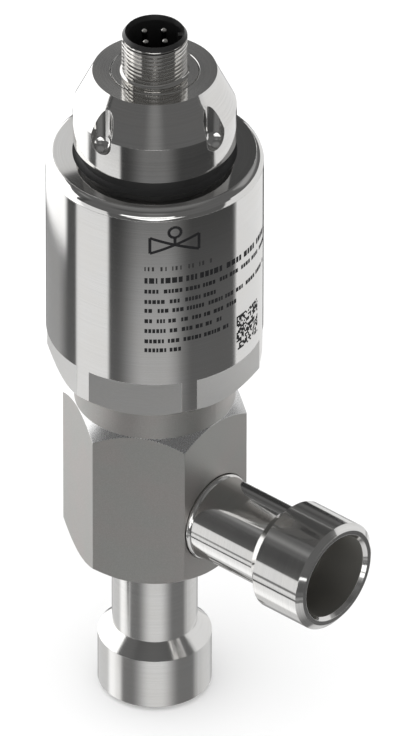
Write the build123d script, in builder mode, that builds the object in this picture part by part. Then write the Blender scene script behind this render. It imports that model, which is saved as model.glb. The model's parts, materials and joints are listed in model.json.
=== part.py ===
from build123d import *
import os
from math import cos, radians, tan

# Electric regulating valve, motor driven, angle pattern.
# Origin: centre of the inlet tube's end face. +Z runs up the valve axis, +X points out of the outlet.
# All lengths are in millimetres. Names that end in _r are radii, _od and _bore are diameters,
# _af are widths across flats, and _z are heights above the origin.

# Fits
braze_gap = 0.05
slip_gap = 0.05
bush_gap = 0.03
seal_gap = 0.02
groove_slack = 0.05
plate_gap = 0.1

# Tube ends, the same at the inlet and the outlet
tube_od = 16.0
tube_bore = 11.8
ring_od = 21.3
ring_length = 11.3
ring_back_angle = 45
socket_bore = 16.1
socket_depth = 10.0
rim_bevel_width = 1.15
rim_bevel_depth = 0.9
mouth_bevel_width = 0.6
mouth_bevel_depth = 0.75
inlet_reach = 32.3
outlet_reach = 44.7
inlet_seat_depth = 4.0
outlet_seat_depth = 5.5
collar_width = 0.42
collar_length = 0.9
collar_flare = 1.0
collar_recess = 0.6
collar_gap = 0.15

# Valve body
hexagon_half_angle = 30
body_af = 30.0
outlet_rise = 12.0
corner_length = 28.5
low_bevel_rise = 2.1
low_bevel_angle = 41
top_bevel_angle = 45
neck_od = 29.9
neck_rise = 9.8
spigot_od = 26.4
spigot_length = 8.3
web_thickness = 2.0
web_bore = 9.0
chamber_bore = 14.0
cross_port_bore = 9.2
guide_bore = 18.0
guide_floor_rise = 20.7

# Seat and plug
seat_height = 3.0
seat_orifice = 6.5
seat_mouth_bevel = 0.6
plug_od = 12.0
plug_tip_gap = 0.3
plug_tip_straight = 0.7
plug_tip_length = 2.4
plug_tip_end = 3.6
balance_bore = 2.0
shank_af = 10.0
screw_well_gap = 0.3
screw_well_floor = 10.2
plug_seal_drop = 2.4
plug_seal_depth = 1.0
plug_seal_width = 1.6
nut_od = 7.8
nut_length = 8.0
plug_travel = 4.375
plug_top_gap = 1.025
shank_lift_gap = 0.225

# Plug guide
guide_bush_length = 10.0
guide_plate_thickness = 2.0
clip_thickness = 1.0
clip_groove_depth = 0.85
clip_band = 2.2
clip_opening = 40

# Spindle and rotor
screw_od = 5.0
screw_end_gap = 1.125
journal_od = 6.0
screw_runout = 0.4
thrust_od = 8.4
thrust_length = 1.0
thrust_washer_thickness = 0.5
tail_od = 4.0
tail_stand = 0.5
rotor_hub_od = 10.8
magnet_share = 0.5
magnet_inset = 1.0
rotor_end_gap = 0.5
air_gap = 0.4

# Motor stator: two like phases, each a cup and an inner plate with claw poles round the rotor
poles = 12
claw_angle = 11.0
claw_thickness = 0.9
claw_end_gap = 0.2
step_angle = 7.5
stator_gap = 0.3
stator_sheet = 1.2
bobbin_wall = 0.8
bobbin_gap = 0.1
winding_inset = 0.5
end_plate_thickness = 2.0
front_hub_od = 16.0
front_hub_drop = 2.6
front_hub_rise = 2.0
lower_bush_od = 9.0
rear_hub_od = 13.0
rear_hub_rise = 3.0
upper_bush_od = 7.6
lead_hole = 1.6

# Housing
housing_od = 40.0
housing_wall = 2.7
housing_floor = 9.3
housing_length = 44.7
flats_depth = 2.0
flats_height = 8.3
base_bevel_rise = 1.8
stator_clip_thickness = 1.2
stator_clip_groove = 0.7
stator_clip_band = 2.3

# Housing cover
cover_thickness = 2.2
cover_edge_width = 1.4
cover_spigot_length = 3.0
cover_neck_od = 26.8
cover_neck_round = 1.6
cover_thread_od = 21.0
cover_thread_length = 9.8
cover_floor_bore = 12.0
cover_bore = 18.3

# Sealing rings of round section
cord_r = 0.58
cord_groove_width = 1.5
seat_cord_r = 0.45
seat_groove_width = 1.2

# Glass sealed feed-through
feed_plate_thickness = 2.0
feed_pin_od = 0.9
feed_bead_od = 2.2
feed_circle = 7.0
feed_pin_below = 5.5
feed_pin_above = 2.5
lead_od = 0.7
lead_inset = 5.0
lead_room = 6.7
lead_bend = 1.2

# Cap
gasket_thickness = 1.3
gasket_od = 27.8
cap_od = 30.0
cap_rim_height = 7.3
cap_height = 14.8
cap_face_od = 22.88
cap_roof_gap = 1.0
cap_plate = 2.2
cap_hole_bevel = 0.12
pocket_od = 4.8
pocket_floor_rise = 6.3
pockets = 4

# Round plug connector
connector_flange_od = 16.2
flange_bevel_width = 0.12
flange_bevel_depth = 0.2
connector_thread_od = 12.0
connector_thread_length = 7.7
connector_root_relief = 0.3
connector_relief_height = 0.5
connector_tail = 7.2
connector_bore = 10.8
connector_tail_bore = 9.2
connector_nut_af = 14.0
connector_nut_thickness = 2.5
insert_base = 3.7
insert_cavity = 10.0
insert_lip = 0.8
insert_lip_top_od = 10.9
insert_mouth_od = 10.7
insert_mouth_depth = 0.9
insert_lip_gap = 0.02
key_width = 1.0
key_depth = 0.5
key_angle = 45
contacts = 4
contact_od = 1.0
contact_circle = 5.0
contact_tail = 2.0
contact_tip_below_rim = 0.7
contact_tip_bevel = 0.25

# Heights worked out from the sizes above
body_low_z = inlet_reach
body_corner_low_z = body_low_z + low_bevel_rise
body_corner_top_z = body_corner_low_z + corner_length
neck_top_z = body_corner_top_z + neck_rise
spigot_top_z = neck_top_z + spigot_length
outlet_z = body_low_z + outlet_rise
inlet_stop_z = body_low_z + inlet_seat_depth
seat_low_z = inlet_stop_z + web_thickness
seat_top_z = seat_low_z + seat_height
guide_low_z = body_low_z + guide_floor_rise
guide_top_z = guide_low_z + guide_bush_length
guide_plate_top_z = guide_top_z + guide_plate_thickness
shank_low_z = guide_top_z - plug_travel - shank_lift_gap
screw_well_z = seat_top_z + screw_well_floor
screw_low_z = screw_well_z + plug_travel + screw_end_gap
housing_low_z = neck_top_z
housing_floor_z = housing_low_z + housing_floor
housing_top_z = housing_low_z + housing_length
front_hub_low_z = housing_floor_z - front_hub_drop
screw_top_z = front_hub_low_z - screw_runout
plug_top_z = front_hub_low_z - plug_travel - plug_top_gap
nut_low_z = plug_top_z - nut_length
cover_low_z = housing_top_z - cover_spigot_length
cover_top_z = housing_top_z + cover_thickness
cover_neck_z = cover_top_z + cover_neck_round
cover_thread_top_z = cover_neck_z + cover_thread_length
feed_floor_z = cover_neck_z
feed_plate_top_z = feed_floor_z + feed_plate_thickness
feed_pin_low_z = feed_floor_z - feed_pin_below
feed_pin_top_z = feed_plate_top_z + feed_pin_above
rear_hub_top_z = feed_pin_low_z - lead_room
rear_plate_top_z = rear_hub_top_z - rear_hub_rise
stator_top_z = rear_plate_top_z - end_plate_thickness
stator_low_z = housing_floor_z + end_plate_thickness
stator_mid_z = (stator_low_z + stator_top_z) / 2
front_hub_top_z = stator_low_z + front_hub_rise
washer_top_z = front_hub_top_z + thrust_washer_thickness
rotor_low_z = washer_top_z + thrust_length
magnet_low_z = rotor_low_z + magnet_inset
rotor_top_z = stator_top_z - rotor_end_gap
tail_top_z = rear_hub_top_z + tail_stand
cap_low_z = cover_neck_z + gasket_thickness
cap_rim_z = cap_low_z + cap_rim_height
cap_top_z = cap_low_z + cap_height
cap_roof_z = cover_thread_top_z + cap_roof_gap
cap_plate_z = cap_roof_z + cap_plate
thread_top_z = cap_top_z + connector_thread_length
connector_low_z = cap_plate_z - connector_tail
insert_low_z = cap_top_z - insert_base
rim_top_z = thread_top_z + insert_lip_gap + insert_lip
contact_top_z = rim_top_z - contact_tip_below_rim
contact_low_z = insert_low_z - contact_tail
nut_flange_low_z = cap_roof_z - connector_nut_thickness

# Radii worked out from the sizes above
tube_r = tube_od / 2
bore_r = tube_bore / 2
ring_r = ring_od / 2
socket_r = socket_bore / 2
collar_r = tube_r + collar_width
body_face_r = body_af / 2
body_corner_r = body_face_r / cos(radians(hexagon_half_angle))
neck_r = neck_od / 2
spigot_r = spigot_od / 2
chamber_r = chamber_bore / 2
guide_r = guide_bore / 2
plug_r = plug_od / 2
nut_r = nut_od / 2
screw_r = screw_od / 2
screw_well_r = screw_r + screw_well_gap
journal_r = journal_od / 2
tail_r = tail_od / 2
rotor_hub_r = rotor_hub_od / 2
lower_bush_r = lower_bush_od / 2
upper_bush_r = upper_bush_od / 2
front_hub_r = front_hub_od / 2
rear_hub_r = rear_hub_od / 2
housing_r = housing_od / 2
housing_bore_r = housing_r - housing_wall
flats_r = housing_r - flats_depth
stator_r = housing_bore_r - stator_gap
stator_wall_r = stator_r - stator_sheet
magnet_r = stator_r * magnet_share
claw_r = magnet_r + air_gap
claw_back_r = claw_r + claw_thickness
bobbin_low_r = claw_back_r + bobbin_gap
bobbin_high_r = stator_wall_r - bobbin_gap
lead_low_r = stator_r - lead_inset
cover_spigot_r = housing_bore_r - slip_gap
cover_neck_r = cover_neck_od / 2
cover_thread_r = cover_thread_od / 2
cover_bore_r = cover_bore / 2
cap_r = cap_od / 2
cap_face_r = cap_face_od / 2
thread_r = connector_thread_od / 2
flange_r = connector_flange_od / 2
connector_bore_r = connector_bore / 2
insert_r = connector_bore_r - slip_gap
cavity_r = insert_cavity / 2


def turn(outline, mode=Mode.ADD):
    """Turn a closed outline of (radius, height) points about the valve axis."""
    with BuildSketch(Plane.XZ, mode=Mode.PRIVATE) as section:
        with BuildLine():
            Polyline(*outline, close=True)
        make_face()
    revolve(section.sketch, axis=Axis.Z, mode=mode)


def ring(outer_r, inner_r, low_z, high_z, mode=Mode.ADD):
    """A plain ring about the valve axis, between two heights."""
    turn([(inner_r, low_z), (outer_r, low_z), (outer_r, high_z), (inner_r, high_z)], mode)


def bore(radius, low_z, high_z):
    """Cut a round hole on the valve axis, between two heights."""
    ring(radius, 0, low_z, high_z, Mode.SUBTRACT)


def round_ring(centre_r, centre_z, section_r):
    """A sealing ring of round section."""
    with BuildSketch(Plane.XZ, mode=Mode.PRIVATE) as section:
        with Locations((centre_r, centre_z)):
            Circle(section_r)
    revolve(section.sketch, axis=Axis.Z)


def posts(circle, count, radius, low_z, high_z, mode=Mode.ADD):
    """Round posts or holes spaced evenly on a circle."""
    with BuildSketch(Plane.XY.offset(low_z), mode=Mode.PRIVATE) as section:
        with PolarLocations(circle / 2, count):
            Circle(radius)
    extrude(section.sketch, amount=high_z - low_z, mode=mode)


def hexagon(flats, low_z, high_z, mode=Mode.ADD):
    """A hexagonal bar about the valve axis, with one flat facing the outlet."""
    with BuildSketch(Plane.XY.offset(low_z), mode=Mode.PRIVATE) as section:
        RegularPolygon(flats / 2, 6, major_radius=False, rotation=hexagon_half_angle)
    extrude(section.sketch, amount=high_z - low_z, mode=mode)


def snap_ring(outer_r, band, low_z, thickness):
    """An internal retaining ring with a gap on the side away from the outlet."""
    half_gap = tan(radians(clip_opening / 2)) * outer_r
    with BuildSketch(Plane.XY.offset(low_z), mode=Mode.PRIVATE) as section:
        Circle(outer_r)
        Circle(outer_r - band, mode=Mode.SUBTRACT)
        with BuildLine():
            Polyline((0, 0), (-outer_r, half_gap), (-outer_r, -half_gap), close=True)
        make_face(mode=Mode.SUBTRACT)
    extrude(section.sketch, amount=thickness)


def bent_leads(route, section_r, count):
    """Wires on one route of (radius, height) points, repeated round the valve axis."""
    with BuildLine(Plane.XZ, mode=Mode.PRIVATE) as path:
        FilletPolyline(*route, radius=lead_bend)
    with BuildSketch(Plane.XY.offset(route[0][1]), mode=Mode.PRIVATE) as section:
        with Locations((route[0][0], 0)):
            Circle(section_r)
    wire = sweep(section.sketch, path=path.line, mode=Mode.PRIVATE)
    with PolarLocations(0, count):
        add(wire)


def save(builder, name):
    """Label a finished piece and write its file."""
    builder.part.label = name
    export_step(builder.part, f"parts/{name}.step")


def tube_outline(length):
    """Half section of a tube as (radius, distance from its end face)."""
    back_rise = (ring_r - tube_r) / tan(radians(ring_back_angle))
    return [
        (socket_r + mouth_bevel_width, 0),
        (ring_r - rim_bevel_width, 0),
        (ring_r, rim_bevel_depth),
        (ring_r, ring_length),
        (tube_r, ring_length + back_rise),
        (tube_r, length),
        (bore_r, length),
        (bore_r, socket_depth),
        (socket_r, socket_depth),
        (socket_r, mouth_bevel_depth),
    ]


os.makedirs("parts", exist_ok=True)

# Inlet tube: one turned piece, its socket facing down
with BuildPart() as inlet_tube:
    turn(tube_outline(inlet_stop_z))
save(inlet_tube, "inlet_tube")

# Outlet tube: the same end, with a flared collar where it enters the body
outlet_stop_x = body_face_r - outlet_seat_depth
outlet_axis = Axis((outlet_reach, 0, outlet_z), (-1, 0, 0))
outlet_plane = Plane(origin=(outlet_reach, 0, outlet_z), x_dir=(0, 0, 1), z_dir=(0, -1, 0))
collar_back = outlet_reach - body_face_r + collar_recess - plate_gap
collar_front = collar_back - collar_length
with BuildPart() as outlet_tube:
    with BuildSketch(outlet_plane):
        with BuildLine():
            Polyline(*tube_outline(outlet_reach - outlet_stop_x), close=True)
        make_face()
        with BuildLine():
            Polyline(
                (collar_r, collar_front),
                (collar_r, collar_back),
                (bore_r, collar_back),
                (bore_r, collar_front - collar_flare),
                (tube_r, collar_front - collar_flare),
            )
            ThreePointArc(
                (tube_r, collar_front - collar_flare),
                (tube_r + collar_width / 4, collar_front - collar_flare / 3),
                (collar_r, collar_front),
            )
        make_face()
    revolve(axis=outlet_axis)
save(outlet_tube, "outlet_tube")

# Valve body: hexagonal block with bevelled ends, round neck and spigot, bored through
low_bevel_r = body_corner_r - low_bevel_rise / tan(radians(low_bevel_angle))
neck_foot_z = body_corner_top_z + (body_corner_r - neck_r) * tan(radians(top_bevel_angle))
spigot_groove_z = (neck_top_z + spigot_top_z) / 2
spigot_groove_r = spigot_r - 2 * cord_r - groove_slack
clip_low_z = guide_plate_top_z
with BuildPart() as valve_body:
    hexagon(body_af, body_low_z, neck_foot_z)
    turn(
        [
            (0, body_low_z),
            (low_bevel_r, body_low_z),
            (body_corner_r, body_corner_low_z),
            (body_corner_r, body_corner_top_z),
            (neck_r, neck_foot_z),
            (0, neck_foot_z),
        ],
        Mode.INTERSECT,
    )
    ring(neck_r, 0, neck_foot_z, neck_top_z)
    ring(spigot_r, 0, neck_top_z, spigot_top_z)
    bore(tube_r + braze_gap, body_low_z, inlet_stop_z)
    bore(web_bore / 2, inlet_stop_z, seat_low_z)
    bore(chamber_r, seat_low_z, guide_low_z)
    bore(guide_r, guide_low_z, spigot_top_z)
    bore(guide_r + clip_groove_depth, clip_low_z, clip_low_z + clip_thickness + groove_slack)
    ring(
        spigot_r,
        spigot_groove_r,
        spigot_groove_z - cord_groove_width / 2,
        spigot_groove_z + cord_groove_width / 2,
        Mode.SUBTRACT,
    )
    with BuildSketch(Plane.YZ.offset(outlet_stop_x)):
        with Locations((0, outlet_z)):
            Circle(tube_r + braze_gap)
    extrude(amount=outlet_seat_depth, mode=Mode.SUBTRACT)
    with BuildSketch(Plane.YZ.offset(body_face_r - collar_recess)):
        with Locations((0, outlet_z)):
            Circle(collar_r + collar_gap)
    extrude(amount=collar_recess, mode=Mode.SUBTRACT)
    with BuildSketch(Plane.YZ):
        with Locations((0, outlet_z)):
            Circle(cross_port_bore / 2)
    extrude(amount=outlet_stop_x, mode=Mode.SUBTRACT)
save(valve_body, "valve_body")

# Seat insert with its sealing ring, dropped into the chamber's floor
seat_r = chamber_r - slip_gap
orifice_r = seat_orifice / 2
seat_mid_z = (seat_low_z + seat_top_z) / 2
seat_groove_r = seat_r - 2 * seat_cord_r - groove_slack
with BuildPart() as seat_insert:
    turn(
        [
            (orifice_r + seat_mouth_bevel, seat_low_z),
            (seat_r, seat_low_z),
            (seat_r, seat_top_z),
            (orifice_r, seat_top_z),
            (orifice_r, seat_low_z + seat_mouth_bevel),
        ]
    )
    ring(
        seat_r,
        seat_groove_r,
        seat_mid_z - seat_groove_width / 2,
        seat_mid_z + seat_groove_width / 2,
        Mode.SUBTRACT,
    )
save(seat_insert, "seat_insert")

with BuildPart() as seat_ring:
    round_ring(seat_groove_r + seal_gap + seat_cord_r, seat_mid_z, seat_cord_r)
save(seat_ring, "seat_ring")

# Plug: closes flat on the seat, slides in the guide bush, kept from turning by its hexagonal shank
tip_r = orifice_r - plug_tip_gap
tip_low_z = seat_top_z - plug_tip_length
plug_groove_top_z = shank_low_z - plug_seal_drop + plug_seal_width / 2
plug_groove_low_z = plug_groove_top_z - plug_seal_width
plug_groove_r = plug_r - plug_seal_depth
with BuildPart() as plug:
    turn(
        [
            (0, tip_low_z),
            (plug_tip_end / 2, tip_low_z),
            (tip_r, seat_top_z - plug_tip_straight),
            (tip_r, seat_top_z),
            (plug_r, seat_top_z),
            (plug_r, shank_low_z),
            (0, shank_low_z),
        ]
    )
    hexagon(shank_af, shank_low_z, plug_top_z)
    ring(plug_r, plug_groove_r, plug_groove_low_z, plug_groove_top_z, Mode.SUBTRACT)
    bore(balance_bore / 2, tip_low_z, screw_well_z)
    bore(screw_well_r, screw_well_z, nut_low_z)
    bore(nut_r + slip_gap, nut_low_z, plug_top_z)
save(plug, "plug")

with BuildPart() as plug_seal:
    ring(
        plug_r + seal_gap,
        plug_groove_r + groove_slack,
        plug_groove_low_z + groove_slack,
        plug_groove_top_z - groove_slack,
    )
save(plug_seal, "plug_seal")

with BuildPart() as lead_nut:
    ring(nut_r, screw_r + slip_gap, nut_low_z, plug_top_z)
save(lead_nut, "lead_nut")

# Plug guide: bush on the body's ledge, plate with a hexagonal hole, retaining ring
with BuildPart() as guide_bush:
    ring(guide_r - slip_gap, plug_r + slip_gap, guide_low_z, guide_top_z)
save(guide_bush, "guide_bush")

with BuildPart() as guide_plate:
    ring(guide_r - slip_gap, 0, guide_top_z, guide_plate_top_z)
    hexagon(shank_af + 2 * slip_gap, guide_top_z, guide_plate_top_z, Mode.SUBTRACT)
save(guide_plate, "guide_plate")

with BuildPart() as guide_clip:
    snap_ring(guide_r + clip_groove_depth - slip_gap, clip_band, clip_low_z, clip_thickness)
save(guide_clip, "guide_clip")

# Spindle: lead screw, thrust collar and rotor shaft in one piece
with BuildPart() as spindle:
    turn(
        [
            (0, screw_low_z),
            (screw_r, screw_low_z),
            (screw_r, screw_top_z),
            (journal_r, screw_top_z),
            (journal_r, washer_top_z),
            (thrust_od / 2, washer_top_z),
            (thrust_od / 2, rotor_low_z),
            (journal_r, rotor_low_z),
            (journal_r, rotor_top_z),
            (tail_r, rotor_top_z),
            (tail_r, tail_top_z),
            (0, tail_top_z),
        ]
    )
save(spindle, "spindle")

with BuildPart() as rotor_hub:
    ring(rotor_hub_r, journal_r + seal_gap, rotor_low_z, rotor_top_z)
save(rotor_hub, "rotor_hub")

with BuildPart() as rotor_magnet:
    ring(magnet_r, rotor_hub_r + seal_gap, magnet_low_z, rotor_top_z)
save(rotor_magnet, "rotor_magnet")

# Bearings: a bush at each end of the rotor and a thrust washer under its collar
with BuildPart() as lower_bush:
    ring(lower_bush_r, journal_r + bush_gap, front_hub_low_z, front_hub_top_z)
save(lower_bush, "lower_bush")

with BuildPart() as upper_bush:
    ring(upper_bush_r, tail_r + bush_gap, stator_top_z, rear_hub_top_z)
save(upper_bush, "upper_bush")

with BuildPart() as thrust_washer:
    ring(lower_bush_r, journal_r + slip_gap, front_hub_top_z, washer_top_z)
save(thrust_washer, "thrust_washer")

# Motor end plates
with BuildPart() as front_plate:
    ring(stator_r, lower_bush_r + slip_gap, housing_floor_z, stator_low_z)
    ring(front_hub_r, lower_bush_r + slip_gap, front_hub_low_z, front_hub_top_z)
save(front_plate, "front_plate")

with BuildPart() as rear_plate:
    ring(stator_r, upper_bush_r + slip_gap, stator_top_z, rear_plate_top_z)
    ring(rear_hub_r, upper_bush_r + slip_gap, rear_plate_top_z, rear_hub_top_z)
    posts(2 * lead_low_r, contacts, lead_hole / 2, stator_top_z, rear_plate_top_z, Mode.SUBTRACT)
save(rear_plate, "rear_plate")


def claws(low_z, high_z, first_angle):
    """Pole claws standing round the rotor, as slices of one thin ring."""
    reach = 2 * claw_back_r
    half_width = reach * tan(radians(claw_angle / 2))
    with BuildSketch(mode=Mode.PRIVATE) as claw:
        Circle(claw_back_r)
        Circle(claw_r, mode=Mode.SUBTRACT)
        with BuildLine():
            Polyline((0, 0), (reach, -half_width), (reach, half_width), close=True)
        make_face(mode=Mode.INTERSECT)
    with BuildSketch(Plane.XY.offset(low_z), mode=Mode.PRIVATE) as band:
        with PolarLocations(0, poles, start_angle=first_angle):
            add(claw.sketch)
    extrude(band.sketch, amount=high_z - low_z)


# Lower phase of the stator
sheet_top_z = stator_low_z + stator_sheet
inner_plate_low_z = stator_mid_z - stator_sheet
with BuildPart() as lower_cup:
    ring(stator_r, claw_r, stator_low_z, sheet_top_z)
    ring(stator_r, stator_wall_r, stator_low_z, stator_mid_z)
    claws(stator_low_z, inner_plate_low_z - claw_end_gap, 0)
save(lower_cup, "lower_cup")

with BuildPart() as lower_pole_plate:
    ring(stator_wall_r - slip_gap, claw_r, inner_plate_low_z, stator_mid_z)
    claws(sheet_top_z + claw_end_gap, stator_mid_z, 180 / poles)
save(lower_pole_plate, "lower_pole_plate")

bobbin_low_z = sheet_top_z + bobbin_gap
bobbin_high_z = inner_plate_low_z - bobbin_gap
with BuildPart() as lower_bobbin:
    ring(bobbin_high_r, bobbin_low_r, bobbin_low_z, bobbin_high_z)
    ring(
        bobbin_high_r,
        bobbin_low_r + bobbin_wall,
        bobbin_low_z + bobbin_wall,
        bobbin_high_z - bobbin_wall,
        Mode.SUBTRACT,
    )
save(lower_bobbin, "lower_bobbin")

with BuildPart() as lower_winding:
    ring(
        bobbin_high_r - winding_inset,
        bobbin_low_r + bobbin_wall + groove_slack,
        bobbin_low_z + bobbin_wall + groove_slack,
        bobbin_high_z - bobbin_wall - groove_slack,
    )
save(lower_winding, "lower_winding")

# Upper phase: the lower one turned over and moved on by a step
mid_plane = Plane.XY.offset(stator_mid_z)
for name, lower in (
    ("upper_cup", lower_cup),
    ("upper_pole_plate", lower_pole_plate),
    ("upper_bobbin", lower_bobbin),
    ("upper_winding", lower_winding),
):
    turned_over = mirror(lower.part, about=mid_plane).rotate(Axis.Z, step_angle)
    with BuildPart() as upper:
        add(turned_over)
    save(upper, name)

# Retaining ring over the motor
stator_clip_r = housing_bore_r + stator_clip_groove
with BuildPart() as stator_clip:
    snap_ring(stator_clip_r - slip_gap, stator_clip_band, rear_plate_top_z, stator_clip_thickness)
save(stator_clip, "stator_clip")

# Housing: cup with a thick base, six spanner flats and a bevelled lower edge
with BuildPart() as housing:
    turn(
        [
            (spigot_r + slip_gap, housing_low_z),
            (flats_r, housing_low_z),
            (housing_r, housing_low_z + base_bevel_rise),
            (housing_r, housing_top_z),
            (housing_bore_r, housing_top_z),
            (housing_bore_r, housing_floor_z),
            (spigot_r + slip_gap, housing_floor_z),
        ]
    )
    with BuildSketch(Plane.XY.offset(housing_low_z)):
        Circle(housing_od)
        RegularPolygon(
            flats_r, 6, major_radius=False, rotation=hexagon_half_angle, mode=Mode.SUBTRACT
        )
    extrude(amount=flats_height, mode=Mode.SUBTRACT)
    bore(stator_clip_r, rear_plate_top_z, rear_plate_top_z + stator_clip_thickness + groove_slack)
save(housing, "housing")

with BuildPart() as housing_ring:
    round_ring(spigot_groove_r + seal_gap + cord_r, spigot_groove_z, cord_r)
save(housing_ring, "housing_ring")

# Housing cover: lid with a rounded edge, a spigot below and a threaded neck above
cover_flat_r = housing_r - cover_edge_width
cover_edge_round = (cover_edge_width**2 + cover_thickness**2) / (2 * cover_edge_width)
cover_groove_z = cover_low_z + cover_spigot_length / 2
cover_groove_r = cover_spigot_r - 2 * cord_r - groove_slack
neck_round_r = cover_neck_r + cover_neck_round
with BuildPart() as cover:
    with BuildSketch(Plane.XZ):
        with BuildLine():
            RadiusArc((housing_r, housing_top_z), (cover_flat_r, cover_top_z), -cover_edge_round)
            Line((cover_flat_r, cover_top_z), (neck_round_r, cover_top_z))
            RadiusArc((neck_round_r, cover_top_z), (cover_neck_r, cover_neck_z), cover_neck_round)
            Polyline(
                (cover_neck_r, cover_neck_z),
                (cover_thread_r, cover_neck_z),
                (cover_thread_r, cover_thread_top_z),
                (cover_bore_r, cover_thread_top_z),
                (cover_bore_r, feed_floor_z),
                (cover_floor_bore / 2, feed_floor_z),
                (cover_floor_bore / 2, cover_low_z),
                (cover_spigot_r, cover_low_z),
                (cover_spigot_r, housing_top_z),
                (housing_r, housing_top_z),
            )
        make_face()
    revolve(axis=Axis.Z)
    ring(
        cover_spigot_r,
        cover_groove_r,
        cover_groove_z - cord_groove_width / 2,
        cover_groove_z + cord_groove_width / 2,
        Mode.SUBTRACT,
    )
save(cover, "cover")

with BuildPart() as cover_ring:
    round_ring(cover_groove_r + seal_gap + cord_r, cover_groove_z, cord_r)
save(cover_ring, "cover_ring")

# Feed-through: plate, glass beads and pins
feed_plate_r = cover_bore_r - slip_gap
bead_r = feed_bead_od / 2
feed_pin_r = feed_pin_od / 2
with BuildPart() as feed_plate:
    ring(feed_plate_r, 0, feed_floor_z, feed_plate_top_z)
    posts(feed_circle, contacts, bead_r, feed_floor_z, feed_plate_top_z, Mode.SUBTRACT)
save(feed_plate, "feed_plate")

with BuildPart() as feed_beads:
    posts(feed_circle, contacts, bead_r - seal_gap, feed_floor_z, feed_plate_top_z)
    posts(feed_circle, contacts, feed_pin_r + seal_gap, feed_floor_z, feed_plate_top_z, Mode.SUBTRACT)
save(feed_beads, "feed_beads")

with BuildPart() as feed_pins:
    posts(feed_circle, contacts, feed_pin_r, feed_pin_low_z, feed_pin_top_z)
save(feed_pins, "feed_pins")

# Wires from the motor to the feed-through, and from there to the connector
feed_r = feed_circle / 2
lead_turn_z = (rear_hub_top_z + feed_pin_low_z) / 2
with BuildPart() as motor_leads:
    bent_leads(
        [
            (lead_low_r, stator_top_z),
            (lead_low_r, lead_turn_z - lead_bend),
            (feed_r, lead_turn_z + lead_bend),
            (feed_r, feed_pin_low_z),
        ],
        lead_od / 2,
        contacts,
    )
save(motor_leads, "motor_leads")

contact_r = contact_circle / 2
lead_gap = contact_low_z - feed_pin_top_z
with BuildPart() as connector_leads:
    bent_leads(
        [
            (feed_r, feed_pin_top_z),
            (feed_r, feed_pin_top_z + lead_gap / 4),
            (contact_r, contact_low_z - lead_gap / 4),
            (contact_r, contact_low_z),
        ],
        lead_od / 2,
        contacts,
    )
save(connector_leads, "connector_leads")

# Cap and the gasket under it
cap_thread_r = cover_thread_r + slip_gap
flange_seat_r = flange_r + slip_gap
connector_hole_r = thread_r + slip_gap
cap_groove_r = (connector_hole_r + flange_seat_r) / 2
cap_groove_width = 2 * seat_cord_r + 2 * groove_slack
with BuildPart() as cap_gasket:
    ring(gasket_od / 2, cap_thread_r + groove_slack, cover_neck_z, cap_low_z)
save(cap_gasket, "cap_gasket")

with BuildPart() as cap:
    turn(
        [
            (cap_thread_r, cap_low_z),
            (cap_r, cap_low_z),
            (cap_r, cap_rim_z),
            (cap_face_r, cap_top_z),
            (flange_seat_r + cap_hole_bevel, cap_top_z),
            (flange_seat_r, cap_top_z - cap_hole_bevel),
            (flange_seat_r, cap_plate_z),
            (connector_hole_r, cap_plate_z),
            (connector_hole_r, cap_roof_z),
            (cap_thread_r, cap_roof_z),
        ]
    )
    ring(
        cap_groove_r + cap_groove_width / 2,
        cap_groove_r - cap_groove_width / 2,
        cap_plate_z - 2 * seat_cord_r - groove_slack,
        cap_plate_z,
        Mode.SUBTRACT,
    )
    pocket_ball_z = cap_low_z + pocket_floor_rise
    posts(cap_od, pockets, pocket_od / 2, pocket_ball_z, cap_top_z, Mode.SUBTRACT)
    with PolarLocations(cap_r, pockets):
        with Locations((0, 0, pocket_ball_z)):
            Sphere(pocket_od / 2, mode=Mode.SUBTRACT)
save(cap, "cap")

# Connector: threaded shell, its ring and lock nut, contact carrier and contacts
with BuildPart() as connector_shell:
    turn(
        [
            (connector_tail_bore / 2, connector_low_z),
            (thread_r, connector_low_z),
            (thread_r, cap_plate_z),
            (flange_r, cap_plate_z),
            (flange_r, cap_top_z - flange_bevel_depth),
            (flange_r - flange_bevel_width, cap_top_z),
            (thread_r - connector_root_relief, cap_top_z),
            (thread_r - connector_root_relief, cap_top_z + connector_relief_height),
            (thread_r, cap_top_z + connector_relief_height),
            (thread_r, thread_top_z),
            (connector_bore_r, thread_top_z),
            (connector_bore_r, insert_low_z),
            (connector_tail_bore / 2, insert_low_z),
        ]
    )
save(connector_shell, "connector_shell")

with BuildPart() as connector_ring:
    round_ring(cap_groove_r, cap_plate_z - seat_cord_r - groove_slack / 2, seat_cord_r)
save(connector_ring, "connector_ring")

with BuildPart() as connector_nut:
    hexagon(connector_nut_af, nut_flange_low_z, cap_roof_z)
    bore(connector_hole_r, nut_flange_low_z, cap_roof_z)
save(connector_nut, "connector_nut")

lip_low_z = thread_top_z + insert_lip_gap
with BuildPart() as connector_insert:
    turn(
        [
            (0, insert_low_z),
            (insert_r, insert_low_z),
            (insert_r, lip_low_z),
            (thread_r - seal_gap, lip_low_z),
            (insert_lip_top_od / 2, rim_top_z),
            (insert_mouth_od / 2, rim_top_z),
            (cavity_r, rim_top_z - insert_mouth_depth),
            (cavity_r, cap_top_z),
            (0, cap_top_z),
        ]
    )
    with BuildSketch(Plane.XY.offset(cap_top_z)):
        with PolarLocations(cavity_r - key_depth / 2, 1, start_angle=key_angle):
            Rectangle(2 * key_depth, key_width)
    extrude(amount=thread_top_z - cap_top_z)
    posts(contact_circle, contacts, contact_od / 2 + seal_gap, insert_low_z, cap_top_z, Mode.SUBTRACT)
save(connector_insert, "connector_insert")

with BuildPart() as contact_pins:
    posts(contact_circle, contacts, contact_od / 2, contact_low_z, contact_top_z)
    tips = contact_pins.edges().group_by(Axis.Z)[-1]
    chamfer(tips, length=contact_tip_bevel)
save(contact_pins, "contact_pins")
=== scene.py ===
import json
import random
from math import acos, cos, hypot, pi, radians, sin

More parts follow.
